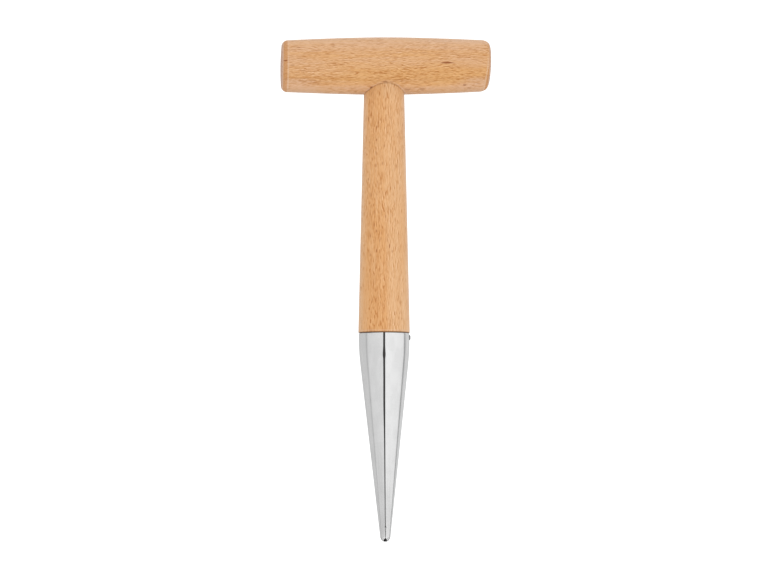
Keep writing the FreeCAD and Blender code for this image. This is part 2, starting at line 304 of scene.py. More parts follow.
def make_point():
    """Rolled sheet: collar, ogive and cone, open along the seam, round nose."""
    low, top, ogive, col = offset_outline(0.0)
    rows = []                                  # (z, outer r, inner r)
    inner_at = lambda r: max(r - SHEET_T * math.hypot(1, CONE_SLOPE), 0.35)
    nose = []
    p = [(CONE_LOW_Z, CONE_LOW_R), (1.60, 2.84), (0.42, 1.72), (0.0, 0.55)]
    for t in np.linspace(1, 0, 22):
        b = ((1 - t) ** 3, 3 * t * (1 - t) ** 2, 3 * t * t * (1 - t), t ** 3)
        nose.append((sum(w * q[0] for w, q in zip(b, p)), sum(w * q[1] for w, q in zip(b, p))))
    for z, r in nose:
        rows.append((z, r, min(inner_at(CONE_LOW_R + 0.1), max(HOLE_R * 0.75, r - 0.8))))
    # a few more rows where the seam opens slightly near the tip
    extra = [(q - low[0]) / (top[0] - low[0]) for q in (7.4, 7.9, 8.5, 9.0)]
    for k in sorted(list(np.linspace(0, 1, 56)[1:]) + extra):
        z, r = low[0] + (top[0] - low[0]) * k, low[1] + (top[1] - low[1]) * k
        rows.append((z, r, inner_at(r)))
    for z, r in ogive[1:]:
        rows.append((z, r, inner_at(r)))
    for z in (111.5, 113.0, POINT_TOP_Z - 0.95, POINT_TOP_Z - 0.70):
        rows.append((z, COLLAR_END_R + 0.02 * (z - 110) / 4.85, COLLAR_END_R - SHEET_T))
    # the rim is rolled over a little
    for k in (0.25, 0.5, 0.75, 1.0):
        a = math.radians(90 * k)
        rows.append((POINT_TOP_Z - 0.70 + 0.70 * math.sin(a), POINT_R - POINT_RIM * (1 - math.cos(a)), COLLAR_END_R - SHEET_T))
    seam_z = [q[0] for q in reversed(SEAM)]
    seam_w = [q[1] for q in reversed(SEAM)]
    shift_z = [q[0] for q in reversed(SEAM_SHIFT)]
    shift_x = [q[1] for q in reversed(SEAM_SHIFT)]
    edge = np.array([0.0, 0.04, 0.10, 0.17, 0.26, 0.40, 0.65, 1.0, 1.5, 2.2, 3.2])
    fractions = np.linspace(0, 1, 97)[1:-1]
    rings = []
    for z, ro, ri in rows:
        half = float(np.interp(z, seam_z, seam_w)) / 2.0
        middle = math.radians(SEAM_AZ) + float(np.interp(z, shift_z, shift_x)) / ro
        b0 = math.asin(min(half / ro, 0.9))
        scale = min(1.0, ro / 9.0)
        arc = edge * scale / ro
        inner_start = b0 + arc[-1]
        span = 2 * math.pi - 2 * inner_start
        angles = list(b0 + arc) + [inner_start + f * span for f in fractions]
        angles += [2 * math.pi - b0 - q for q in arc[::-1]]
        flat = math.radians(9.0)
        soft = 0.22 * max(scale, 0.45)
        outer, inner = [], []
        for a in angles:
            d = min(a, 2 * math.pi - a)        # from the seam's middle
            r = ro
            if d < flat:
                r = ro / math.cos(flat - d)
            s = (d - b0) * ro                  # along the sheet from its edge
            drop = 0.0
            if s < soft:
                drop = soft - math.sqrt(max(soft * soft - (soft - s) ** 2, 0.0))
            az = middle + a
            outer.append(((r - drop) * math.cos(az), (r - drop) * math.sin(az), z))
            b_in = math.asin(min(half / max(ri, half * 1.2), 0.9))
            ai = b_in + (a - b0) / (2 * math.pi - 2 * b0) * (2 * math.pi - 2 * b_in)
            azi = middle + ai
            inner.append((ri * math.cos(azi), ri * math.sin(azi), max(z, 0.0)))
        rings.append(outer + inner[::-1])
    points, faces = skin(rings)
    n = len(rings[0]) // 2
    for start, flip in ((0, True), ((len(rings) - 1) * 2 * n, False)):
        for i in range(n - 1):
            q = (start + i, start + i + 1, start + 2 * n - 2 - i, start + 2 * n - 1 - i)
            faces.append(q[::-1] if flip else q)
    obj = outward(new_mesh("steel_cone", points, faces, 50))
    obj.matrix_world = LEANING_M
    return obj


def make_nail():
    """Round-head nail through the collar, about its own X axis."""
    base = COLLAR_END_R + 0.02
    around = 40
    turn = np.linspace(0, 2 * math.pi, around, endpoint=False)
    profile = [(base - NAIL_LEN, 0.0), (base - NAIL_LEN + 1.6, NAIL_SHANK_R), (base, NAIL_SHANK_R),
               (base, NAIL_HEAD_R * 0.90), (base + 0.05, NAIL_HEAD_R * 0.97),
               (base + NAIL_HEAD_H * 0.22, NAIL_HEAD_R)]
    for a in np.radians(np.linspace(10, 90, 9)):
        profile.append((base + NAIL_HEAD_H * (0.22 + 0.78 * math.sin(a) ** 0.9),
                        NAIL_HEAD_R * math.cos(a)))
    rings = []
    for s, r in profile:
        rings.append([(s, 0, 0)] if r < 1e-4 else [(s, r * math.cos(t), r * math.sin(t)) for t in turn])
    points, faces = skin(rings)
    obj = outward(new_mesh("round_head_nail", points, faces, 40))
    obj.matrix_world = (LEANING_M @ Matrix.Translation((0, 0, NAIL_Z * MM))
                        @ Matrix.Rotation(math.radians(NAIL_AZ), 4, "Z"))
    return obj


# ---- materials ---------------------------------------------------------------------
class Graph:
    """Short names for building a node tree."""

    def __init__(self, name):
        self.mat = bpy.data.materials.new(name)
        self.mat.use_nodes = True
        self.nt = self.mat.node_tree
        self.nt.nodes.clear()
        self.out = self.nt.nodes.new("ShaderNodeOutputMaterial")
        self.bsdf = self.nt.nodes.new("ShaderNodeBsdfPrincipled")
        self.nt.links.new(self.bsdf.outputs[0], self.out.inputs[0])

    def link(self, value, socket):
        if isinstance(value, bpy.types.NodeSocket):
            self.nt.links.new(value, socket)
        else:
            socket.default_value = value

    def math(self, op, a, b=0.0, c=0.0, clamp=False):
        n = self.nt.nodes.new("ShaderNodeMath")
        n.operation, n.use_clamp = op, clamp
        for v, s in zip((a, b, c), n.inputs):
            self.link(v, s)
        return n.outputs[0]

    def xyz(self, x, y, z):
        n = self.nt.nodes.new("ShaderNodeCombineXYZ")
        for v, s in zip((x, y, z), n.inputs):
            self.link(v, s)
        return n.outputs[0]

    def split(self, v):
        n = self.nt.nodes.new("ShaderNodeSeparateXYZ")
        self.link(v, n.inputs[0])
        return n.outputs

    def ramp(self, v, a, b, lo=0.0, hi=1.0, smooth=True):
        n = self.nt.nodes.new("ShaderNodeMapRange")
        n.interpolation_type = "SMOOTHSTEP" if smooth else "LINEAR"
        for val, i in ((v, 0), (a, 1), (b, 2), (lo, 3), (hi, 4)):
            self.link(val, n.inputs[i])
        return n.outputs[0]

    def mix(self, fac, a, b, blend="MIX"):
        n = self.nt.nodes.new("ShaderNodeMix")
        n.data_type, n.blend_type = "RGBA", blend
        self.link(fac, n.inputs["Factor"])
        for v, s in ((a, n.inputs[6]), (b, n.inputs[7])):
            self.link((*v, 1.0) if isinstance(v, tuple) and len(v) == 3 else v, s)
        return n.outputs[2]

    def noise(self, vec, scale=1.0, detail=2.0, rough=0.5):
        n = self.nt.nodes.new("ShaderNodeTexNoise")
        n.noise_dimensions = "3D"
        self.link(vec, n.inputs["Vector"])
        n.inputs["Scale"].default_value = scale
        n.inputs["Detail"].default_value = detail
        n.inputs["Roughness"].default_value = rough
        return n.outputs[0], n.outputs[1]

    def cells(self, vec):
        n = self.nt.nodes.new("ShaderNodeTexVoronoi")
        n.voronoi_dimensions, n.feature = "3D", "F1"
        self.link(vec, n.inputs["Vector"])
        n.inputs["Scale"].default_value = 1.0
        n.inputs["Randomness"].default_value = 1.0
        return n.outputs["Distance"], n.outputs["Color"]

    def coords_mm(self):
        n = self.nt.nodes.new("ShaderNodeTexCoord")
        m = self.nt.nodes.new("ShaderNodeVectorMath")
        m.operation = "SCALE"
        self.nt.links.new(n.outputs["Object"], m.inputs[0])
        m.inputs["Scale"].default_value = 1000.0
        return self.split(m.outputs[0])


WOOD_PALE, WOOD_DEEP = (0.676, 0.405, 0.233), (0.682, 0.366, 0.138)
STEM_PALE, STEM_DEEP = (0.742, 0.452, 0.238), (0.700, 0.360, 0.138)
# HIGHLIGHT_TINT is the colour of painted highlights: the pale lines at the grip's ends and just above the stem's
# shoulder
RIM_TINT, FACE_TINT, HIGHLIGHT_TINT = (0.520, 0.235, 0.080), (0.560, 0.352, 0.255), (0.700, 0.480, 0.330)
FINE_W, LONG_W, DOTS_W = 0.98, 1.25, 1.65
# (x, z, half length, half width, strength, bend) of the natural dark marks on the grip's front
MARKS = [(33.1, -1.05, 4.9, 0.66, 0.97, -0.30), (-56.0, 0.40, 1.5, 0.46, 0.98, 0.0), (-48.8, 8.0, 1.6, 0.45, 0.45, 0.0),
         (-52.3, -2.3, 1.8, 0.42, 0.45, 0.0), (43.3, -12.3, 1.3, 0.55, 0.60, 0.0), (46.2, -13.6, 1.8, 0.60, 0.22, 0.3),
         (-8.5, -13.8, 1.2, 0.80, 0.85, 0.3), (11.6, -14.6, 2.3, 0.70, 0.34, 0.7), (19.8, -14.4, 2.0, 0.75, 0.35, 0.7),
         (-55.9, -6.6, 0.9, 0.35, 0.40, 0.0), (-55.8, -9.2, 0.9, 0.40, 0.45, 0.0), (51.0, -11.6, 1.2, 0.35, 0.30, 0.0),
         (20.6, 4.8, 2.2, 0.40, 0.30, 0.1), (-38.0, 6.0, 2.4, 0.40, 0.25, 0.1),
         (-1.1, -10.85, 1.8, 0.40, 0.60, 0.1)]
# (x, z, half width, half length, strength) of the longest flecks on the stem's front
FLECKS = [(-5.4, 206.4, 0.46, 1.5, 0.5), (-9.3, 199.0, 0.4, 1.2, 0.45), (-6.0, 180.6, 0.4, 1.8, 0.5),
          (-0.2, 178.0, 0.46, 1.3, 0.4), (-6.3, 173.4, 0.4, 1.5, 0.55), (-5.1, 170.1, 0.4, 1.2, 0.6),
          (2.0, 161.7, 0.46, 1.8, 0.7), (-5.1, 159.0, 0.4, 1.3, 0.6), (-8.3, 167.5, 0.4, 1.5, 0.45),
          (-8.2, 157.0, 0.46, 1.2, 0.4), (-9.2, 232.8, 0.4, 1.8, 0.55), (-4.8, 227.8, 0.4, 1.3, 0.6),
          (-4.0, 230.3, 0.46, 1.5, 0.45), (-5.0, 220.6, 0.4, 1.2, 0.7), (-5.3, 213.3, 0.4, 1.8, 0.5),
          (-0.8, 217.1, 0.46, 1.3, 0.4), (-1.8, 207.4, 0.4, 1.5, 0.4), (2.3, 232.8, 0.4, 1.2, 0.4),
          (6.0, 206.3, 0.46, 1.8, 0.3), (0.9, 165.0, 0.4, 1.3, 0.35), (-3.5, 164.8, 0.4, 1.5, 0.4),
          (3.5, 158.8, 0.46, 1.2, 0.4), (-7.9, 190.2, 0.4, 1.8, 0.5), (-2.7, 165.9, 0.4, 1.3, 0.35)]


def beech(name, kind, seed):
    """Waxed beech. kind is 'bar' (grain along X) or 'stem' (grain along Z)."""
    g = Graph(name)
    x, y, z = g.coords_mm()
    if kind == "bar":
        along, tang, rad = x, z, y
    else:
        a = math.radians(18)
        along = z
        tang = g.math("ADD", g.math("MULTIPLY", x, math.cos(a)), g.math("MULTIPLY", y, math.sin(a)))
        rad = g.math("SUBTRACT", g.math("MULTIPLY", y, math.cos(a)), g.math("MULTIPLY", x, math.sin(a)))
    # slow wander of the grain
    _, wander = g.noise(g.xyz(g.math("MULTIPLY", along, 0.016), g.math("MULTIPLY_ADD", tang, 0.055, seed),
                              g.math("MULTIPLY", rad, 0.055)), 1.0, 2.0)
    wr, wg, wb = g.split(wander)
    tang2 = g.math("MULTIPLY_ADD", g.math("SUBTRACT", wr, 0.5), 3.2, tang)
    rad2 = g.math("MULTIPLY_ADD", g.math("SUBTRACT", wg, 0.5), 4.0, rad)
    # growth rings: gentle arcs about a far pith
    ring_at = g.math("MULTIPLY_ADD", g.math("MULTIPLY", tang2, tang2), 1.0 / 95.0, rad2)
    ring = g.math("FRACT", g.math("MULTIPLY_ADD", ring_at, 1.0 / 3.1, seed))
    late = g.math("POWER", ring, 2.6)
    late = g.math("MULTIPLY", late, g.ramp(ring, 1.0, 0.93, 0.0, 1.0))

    # rays and vessels: short dark spindles along the grain
    def spindles(len_mm, wide_mm, deep_mm, detail, edge, full, shift, aside=0.55, pale_edge=0.33):
        both = []
        len_mm *= 1.12 if kind == "bar" else 1.50
        wide_mm *= 1.0 if kind == "bar" else 0.86
        for off in (0.0, aside):
            n, _ = g.noise(g.xyz(g.math("MULTIPLY_ADD", along, 1.0 / len_mm, shift),
                                 g.math("MULTIPLY_ADD", tang2, 1.0 / wide_mm, seed + shift + off / wide_mm),
                                 g.math("MULTIPLY_ADD", rad2, 1.0 / deep_mm, shift * 2)), 1.0, detail, 0.55)
            both.append(g.ramp(n, edge, full))
        # each has a paler edge on one side
        return g.math("MULTIPLY_ADD", both[1], -pale_edge, both[0])

    fine = spindles(2.1, 0.31, 0.75, 1.0, 0.54, 0.34, 3.7)
    long = spindles(4.6, 0.44, 1.2, 1.0, 0.43, 0.28, 8.1)
    if kind == "bar":
        dots = spindles(2.8, 0.42, 1.0, 0.0, 0.37, 0.25, 12.9, 0.6, 0.22)
    else:
        dots = spindles(2.1, 0.46, 1.0, 0.0, 0.385, 0.27, 12.9, 0.6, 0.22)
    # tone
    drift, _ = g.noise(g.xyz(g.math("MULTIPLY", along, 0.011), g.math("MULTIPLY_ADD", tang2, 0.11, seed * 3),
                             g.math("MULTIPLY", rad2, 0.11)), 1.0, 3.0, 0.55)
    streak, _ = g.noise(g.xyz(g.math("MULTIPLY", along, 0.03), g.math("MULTIPLY_ADD", tang2, 0.75, seed * 5),
                              g.math("MULTIPLY", rad2, 0.75)), 1.0, 3.0, 0.55)
    patch, _ = g.noise(g.xyz(g.math("MULTIPLY", along, 0.05), g.math("MULTIPLY_ADD", tang2, 0.16, seed * 7),
                             g.math("MULTIPLY", rad2, 0.12)), 1.0, 2.0, 0.5)
    fibre, _ = g.noise(g.xyz(g.math("MULTIPLY", along, 0.55), g.math("MULTIPLY_ADD", tang, 5.5, seed),
                             g.math("MULTIPLY", rad, 5.5)), 1.0, 2.0, 0.6)
    pale, deep = WOOD_PALE, WOOD_DEEP
    tone = g.math("ADD", g.ramp(drift, 0.34, 0.66, 0.10, 0.55), g.ramp(streak, 0.36, 0.64, 0.05, 0.33))
    if kind == "bar":
        # the lower third of the face runs deeper
        low = g.ramp(z, -1.0, -7.0, 0.0, 1.0)
        low = g.math("MULTIPLY", low, g.ramp(z, -13.4, -11.4, 0.0, 1.0))
        tone = g.math("MULTIPLY_ADD", low, 0.45, tone)
        # painted sheen: the top of the face is paler, for the sheen of the light overhead
        tone = g.math("SUBTRACT", tone, g.ramp(z, 7.5, 13.0, 0.0, 0.20))
        dense = g.math("ADD", g.ramp(patch, 0.30, 0.70, 0.55, 1.0), g.math("MULTIPLY", low, 0.25))
        dense = g.math("SUBTRACT", dense, g.ramp(g.math("ABSOLUTE", z), 9.0, 13.5, 0.0, 0.35))
        # painted sheen: the underside of both ends is paler and less figured, standing in for a reflection of light
        # from below
        underside_sheen = g.math("MULTIPLY", g.ramp(g.math("ABSOLUTE", x), 33.0, 50.0), g.ramp(z, -7.0, -10.5))
        tone = g.math("MULTIPLY_ADD", underside_sheen, -0.62, tone)
        dense = g.math("MULTIPLY_ADD", underside_sheen, -0.16, dense)
    else:
        # a deeper band left of the middle, paler to both sides
        band = g.math("ABSOLUTE", g.math("ADD", x, 5.2))
        band = g.math("MULTIPLY", g.ramp(band, 0.5, 8.8), -1.0)
        tone = g.math("MULTIPLY_ADD", band, g.ramp(z, 205.0, 165.0, 0.10, 0.56), tone)
        tone = g.math("ADD", tone, g.ramp(z, 205.0, 165.0, 0.03, 0.47))
        # painted light: the right side is paler, where the light is stronger
        tone = g.math("SUBTRACT", tone, g.ramp(x, 5.0, 11.0, 0.0, 0.12))
        dense = g.ramp(patch, 0.30, 0.70, 0.48, 0.86)
        dense = g.math("SUBTRACT", dense, g.ramp(g.math("ABSOLUTE", x), 7.5, 11.5, 0.0, 0.35))
    tone = g.math("MULTIPLY", tone, 1.0, clamp=True)
    if kind == "stem":
        pale, deep = STEM_PALE, STEM_DEEP
    colour = g.mix(tone, pale, deep)
    grain = g.math("MULTIPLY_ADD", late, 0.25, g.math("MULTIPLY", fine, FINE_W if kind == "bar" else 0.84))
    grain = g.math("MULTIPLY_ADD", long, LONG_W, grain)
    grain = g.math("MULTIPLY_ADD", dots, DOTS_W if kind == "bar" else 1.92, grain)
    grain = g.math("MULTIPLY", grain, dense)
    grain = g.math("MINIMUM", grain, 1.6)
    # each unit of grain takes the colour one step towards orange brown
    step = [g.math("POWER", 2.718282, g.math("MULTIPLY", grain, -q)) for q in (0.245, 0.445, 0.79)]
    colour = g.mix(1.0, colour, g.xyz(*step), "MULTIPLY")
    shade = g.ramp(fibre, 0.3, 0.7, 0.955, 1.045, False)
    if kind == "bar":
        side = g.math("GREATER_THAN", x, 0.0)
        extent = g.math("ABSOLUTE", x)
        rim_at = g.math("ADD", RIM_S, g.math("MULTIPLY", side, 1.75))
        # distance past the start of the rounding, allowing for the ends' skew
        skew = g.math("MULTIPLY", z, g.math("ADD", -END_SKEW_L, g.math("MULTIPLY", side, END_SKEW_L + END_SKEW_R)))
        out = g.math("SUBTRACT", g.math("SUBTRACT", extent, skew), rim_at)
        # on the right the band widens below the middle
        out = g.math("MULTIPLY_ADD", g.math("MULTIPLY", side, g.ramp(z, -1.0, -12.0, 0.0, 1.0)), 0.9, out)
        end = g.ramp(out, 0.15, 0.7)
        far = g.math("SUBTRACT", g.math("SUBTRACT", extent, skew), BAR_HALF_LEN)
        face = g.ramp(far, -1.25, -0.75)
        colour = g.mix(g.math("MULTIPLY", end, g.math("MULTIPLY_ADD", side, 0.22, 0.62)), colour, RIM_TINT)
        # end grain: ring arcs, fine rays across them and a scatter of pores
        pith = (9.0, -34.0)
        py, pz = g.math("SUBTRACT", y, pith[0]), g.math("SUBTRACT", z, pith[1])
        radius = g.math("SQRT", g.math("ADD", g.math("MULTIPLY", py, py), g.math("MULTIPLY", pz, pz)))
        sway, _ = g.noise(g.xyz(0.0, g.math("MULTIPLY", y, 0.12), g.math("MULTIPLY", z, 0.12)), 1.0, 2.0)
        radius = g.math("MULTIPLY_ADD", sway, 2.2, radius)
        year = g.math("FRACT", g.math("MULTIPLY", radius, 1.0 / 2.3))
        late_band = g.math("MULTIPLY", g.math("POWER", year, 3.0), g.ramp(year, 1.0, 0.90))
        turn = g.math("MULTIPLY", g.math("ARCTAN2", pz, py), 120.0)
        ray, _ = g.noise(g.xyz(turn, g.math("MULTIPLY", radius, 0.16), 5.1), 1.0, 1.0)
        pores, _ = g.cells(g.xyz(0.5, g.math("MULTIPLY", y, 2.6), g.math("MULTIPLY", z, 2.6)))
        end_grain = g.mix(g.math("MULTIPLY", late_band, 0.75), FACE_TINT, (0.330, 0.170, 0.100))
        end_grain = g.mix(g.ramp(ray, 0.58, 0.72, 0.0, 0.55), end_grain, (0.640, 0.430, 0.320))
        end_grain = g.mix(g.ramp(pores, 0.26, 0.12, 0.0, 0.45), end_grain, (0.300, 0.150, 0.085))
        colour = g.mix(g.math("MULTIPLY", face, 0.90), colour, end_grain)
        # painted highlights: pale lines where the rounding starts and where it meets the end face
        edge_highlight = g.ramp(g.math("ABSOLUTE", g.math("SUBTRACT", out, -0.15)), 0.60, 0.20)
        edge_highlight = g.math("MULTIPLY", edge_highlight, g.ramp(fibre, 0.25, 0.6, 0.40, 1.0))
        edge_highlight = g.math("MULTIPLY", edge_highlight, g.math("SUBTRACT", 1.0, g.math("MULTIPLY", side, g.ramp(z, -1.0, 5.0, 0.0, 1.0))))
        edge_highlight = g.math("MULTIPLY", edge_highlight, g.ramp(z, -1.0, 6.0, 1.0, 0.45))
        colour = g.mix(g.math("MULTIPLY", edge_highlight, 0.50), colour, HIGHLIGHT_TINT)
        brim_highlight = g.ramp(g.math("ABSOLUTE", g.math("SUBTRACT", far, -0.80)), 0.34, 0.08)
        colour = g.mix(g.math("MULTIPLY", brim_highlight, 0.55), colour, HIGHLIGHT_TINT)

        # painted light: the underside is a little paler, for light from below
        underside_light = g.ramp(z, -10.3, -12.6, 1.0, 1.085)
        colour = g.mix(1.0, colour, g.xyz(underside_light, underside_light, underside_light), "MULTIPLY")
        # painted highlight: a pale glint along the arris where the scribed joint meets the bar
        full = g.math("MULTIPLY_ADD", g.math("ADD", x, BAR_OFFSET_X), TOP_FULL[1] / STEM_TOP_R, TOP_FULL[0])
        full = g.math("MULTIPLY", g.math("MAXIMUM", full, 0.0), g.math("LESS_THAN", y, 0.0))
        deep = g.math("DIVIDE", y, g.math("ADD", full, 1.0))
        joint_glint = g.math("SQRT", g.math("ADD", g.math("POWER", g.math("ADD", x, BAR_OFFSET_X), 2.0), g.math("MULTIPLY", deep, deep)))
        joint_glint = g.ramp(g.math("ABSOLUTE", g.math("SUBTRACT", joint_glint, STEM_TOP_R + 0.34)), 0.36, 0.10)
        joint_glint = g.math("MULTIPLY", joint_glint, g.ramp(g.math("ABSOLUTE", g.math("ADD", x, BAR_OFFSET_X)), 3.0, 8.0, 0.35, 1.0))
        joint_glint = g.math("MULTIPLY", g.math("MULTIPLY", joint_glint, g.math("LESS_THAN", z, 0.0)), g.ramp(fibre, 0.25, 0.65, 0.05, 0.55))
        colour = g.mix(joint_glint, colour, (0.760, 0.560, 0.430))

        def mark(cx, cz, hx, hz, strength, colour, tint=(0.27, 0.072, 0.008), bend=0.0):
            dx = g.math("DIVIDE", g.math("SUBTRACT", x, cx), hx)
            mid = g.math("MULTIPLY_ADD", g.math("MULTIPLY", dx, dx), bend, cz)
            dz = g.math("DIVIDE", g.math("SUBTRACT", z, mid), hz)
            d = g.math("SQRT", g.math("ADD", g.math("MULTIPLY", dx, dx), g.math("MULTIPLY", dz, dz)))
            d = g.math("ADD", d, g.math("MULTIPLY", g.math("SUBTRACT", fibre, 0.5), 0.7))
            m = g.math("MULTIPLY", g.ramp(d, 1.0, 0.40), g.math("LESS_THAN", y, 0.0))
            return g.mix(g.math("MULTIPLY", m, strength), colour, tint)

        for cx, cz, hx, hz, strength, bend in MARKS:
            colour = mark(cx, cz, hx, hz, strength, colour, bend=bend)
    else:
        front = g.math("LESS_THAN", y, 0.0)
        for cx, cz, hx, hz, strength in FLECKS:
            u = g.math("DIVIDE", g.math("SUBTRACT", x, cx), hx)
            v = g.math("DIVIDE", g.math("SUBTRACT", z, cz), hz)
            d = g.math("SQRT", g.math("ADD", g.math("MULTIPLY", u, u), g.math("MULTIPLY", v, v)))
            m = g.math("MULTIPLY", g.ramp(d, 1.0, 0.35), front)
            colour = g.mix(g.math("MULTIPLY", m, min(strength * 1.35, 0.95)), colour, (0.37, 0.13, 0.030))
        # brown glue line under the grip, and painted shade: the wood just below it is slightly darker, where the grip
        # shades it
        t = math.radians(BAR_TILT)
        bx = g.math("SUBTRACT", x, BAR_OFFSET_X)
        bz = g.math("SUBTRACT", z, BAR_Z)
        lift = g.math("SUBTRACT", g.math("MULTIPLY", bz, math.cos(t)), g.math("MULTIPLY", bx, math.sin(t)))
        clear = g.math("SQRT", g.math("ADD", g.math("MULTIPLY", lift, lift), g.math("MULTIPLY", y, y)))
        clear = g.math("ADD", g.math("SUBTRACT", clear, BAR_R0), g.math("MULTIPLY", g.math("MULTIPLY", bx, bx), 0.0008))
        shade_under_grip = g.ramp(clear, 9.0, 0.9, 1.0, 0.93)
        colour = g.mix(1.0, colour, g.xyz(shade_under_grip, shade_under_grip, shade_under_grip), "MULTIPLY")
        glue = g.math("MULTIPLY", g.ramp(clear, 0.95, 0.35), g.ramp(fibre, 0.2, 0.7, 0.85, 0.3))
        drawn = 0.50
        for cx, wide, more in ((-8.4, 2.6, 0.22), (-0.5, 2.8, 0.40), (5.0, 3.0, 0.40)):
            drawn = g.math("ADD", g.ramp(g.math("ABSOLUTE", g.math("SUBTRACT", x, cx)), wide, wide * 0.4, 0.0, more), drawn)
        glue = g.math("MULTIPLY", glue, g.math("MULTIPLY", drawn, g.ramp(x, 7.5, 10.0, 1.0, 0.55)))
        colour = g.mix(glue, colour, (0.29, 0.115, 0.032))
        # painted highlight: a pale line just above the shoulder
        shoulder_highlight = g.ramp(g.math("ABSOLUTE", g.math("SUBTRACT", z, STEM_SHOULDER_Z + 1.0)), 0.55, 0.15)
        colour = g.mix(g.math("MULTIPLY", shoulder_highlight, 0.30), colour, HIGHLIGHT_TINT)
        # painted shade: the shoulder's underside is darkened and the core inside the cone is near black, standing in
        # for the shadow in the gap under the shoulder and inside the seam
        core = g.ramp(z, STEM_SHOULDER_Z + 0.60, STEM_SHOULDER_Z + 0.10)
        colour = g.mix(g.math("MULTIPLY", core, 0.80), colour, (0.17, 0.070, 0.028))
        seam_shade = g.ramp(z, STEM_SHOULDER_Z - 0.05, STEM_SHOULDER_Z - 0.5)
        colour = g.mix(seam_shade, colour, (0.022, 0.019, 0.017))
    colour = g.mix(1.0, colour, g.xyz(shade, shade, shade), "MULTIPLY")
    g.link(colour, g.bsdf.inputs["Base Color"])
    rough = g.math("MULTIPLY_ADD", fibre, 0.10, 0.27)
    rough = g.math("MULTIPLY_ADD", grain, 0.06, rough)
    if kind == "bar":
        rough = g.math("MULTIPLY_ADD", end, 0.22, rough)
    g.link(rough, g.bsdf.inputs["Roughness"])
    g.bsdf.inputs["IOR"].default_value = 1.45
    g.bsdf.inputs["Specular IOR Level"].default_value = 0.5
    bump = g.nt.nodes.new("ShaderNodeBump")
    height = g.math("SUBTRACT", g.math("MULTIPLY", fibre, 0.45), g.math("MULTIPLY", grain, 0.45))
    g.link(height, bump.inputs["Height"])
    bump.inputs["Strength"].default_value = 0.5
    bump.inputs["Distance"].default_value = 0.00003
    g.link(bump.outputs[0], g.bsdf.inputs["Normal"])
    return g.mat


def satin_steel(name):
    """Rolled stainless sheet with a fine satin, a little duller near the tip."""
    g = Graph(name)
    x, y, z = g.coords_mm()
    around = g.math("MULTIPLY", g.math("ARCTAN2", y, x), 14.0)
    mill, _ = g.noise(g.xyz(g.math("MULTIPLY", around, 0.25), g.math("MULTIPLY", z, 3.2), 0.3), 1.0, 3.0, 0.6)
    fine, _ = g.noise(g.xyz(g.math("MULTIPLY", x, 2.2), g.math("MULTIPLY", y, 2.2), g.math("MULTIPLY", z, 1.1)), 1.0, 4.0, 0.65)
    cloud, _ = g.noise(g.xyz(g.math("MULTIPLY", x, 0.22), g.math("MULTIPLY", y, 0.22), g.math("MULTIPLY", z, 0.10)), 1.0, 2.0, 0.5)
    drag, _ = g.noise(g.xyz(g.math("MULTIPLY", around, 1.9), g.math("MULTIPLY", z, 0.05), 4.7), 1.0, 3.0, 0.6)
    tone = g.math("MULTIPLY_ADD", g.ramp(cloud, 0.35, 0.65, -1.0, 1.0), 0.018, 0.640)
    tone = g.math("MULTIPLY_ADD", g.ramp(mill, 0.3, 0.7, -1.0, 1.0), 0.010, tone)
    tone = g.math("MULTIPLY_ADD", g.ramp(fine, 0.3, 0.7, -1.0, 1.0), 0.012, tone)
    low = g.ramp(z, 62.0, 12.0, 0.0, 1.0)
    tone = g.math("SUBTRACT", tone, g.math("MULTIPLY", low, g.ramp(drag, 0.42, 0.66, 0.0, 0.105)))
    g.link(g.xyz(tone, tone, tone), g.bsdf.inputs["Base Color"])
    g.bsdf.inputs["Metallic"].default_value = 1.0
    rough = g.math("MULTIPLY_ADD", fine, 0.05, 0.105)
    rough = g.math("MULTIPLY_ADD", cloud, 0.03, rough)
    g.link(rough, g.bsdf.inputs["Roughness"])
    bump = g.nt.nodes.new("ShaderNodeBump")
    g.link(g.math("MULTIPLY_ADD", fine, 0.5, g.math("MULTIPLY", mill, 0.5)), bump.inputs["Height"])
    bump.inputs["Strength"].default_value = 0.25
    bump.inputs["Distance"].default_value = 0.000006
    g.link(bump.outputs[0], g.bsdf.inputs["Normal"])
    return g.mat


def nail_steel(name):
    g = Graph(name)
    x, y, z = g.coords_mm()
    fine, _ = g.noise(g.xyz(g.math("MULTIPLY", x, 3.0), g.math("MULTIPLY", y, 3.0), g.math("MULTIPLY", z, 3.0)), 1.0, 4.0, 0.6)
    tone = g.ramp(fine, 0.3, 0.7, 0.33, 0.48)
    g.link(g.xyz(tone, tone, tone), g.bsdf.inputs["Base Color"])
    g.bsdf.inputs["Metallic"].default_value = 1.0
    g.link(g.math("MULTIPLY_ADD", fine, 0.2, 0.28), g.bsdf.inputs["Roughness"])
    bump = g.nt.nodes.new("ShaderNodeBump")
    g.link(fine, bump.inputs["Height"])
    bump.inputs["Strength"].default_value = 0.3
    bump.inputs["Distance"].default_value = 0.00003
    g.link(bump.outputs[0], g.bsdf.inputs["Normal"])
    return g.mat


def dowel_wood(name):
    g = Graph(name)
    x, y, z = g.coords_mm()
    fibre, _ = g.noise(g.xyz(g.math("MULTIPLY", x, 4.0), g.math("MULTIPLY", y, 4.0), g.math("MULTIPLY", z, 0.25)), 1.0, 3.0, 0.6)
    colour = g.mix(g.ramp(fibre, 0.3, 0.7), (0.72, 0.50, 0.28), (0.58, 0.36, 0.18))
    g.link(colour, g.bsdf.inputs["Base Color"])
    g.link(g.math("MULTIPLY_ADD", fibre, 0.15, 0.5), g.bsdf.inputs["Roughness"])
    return g.mat


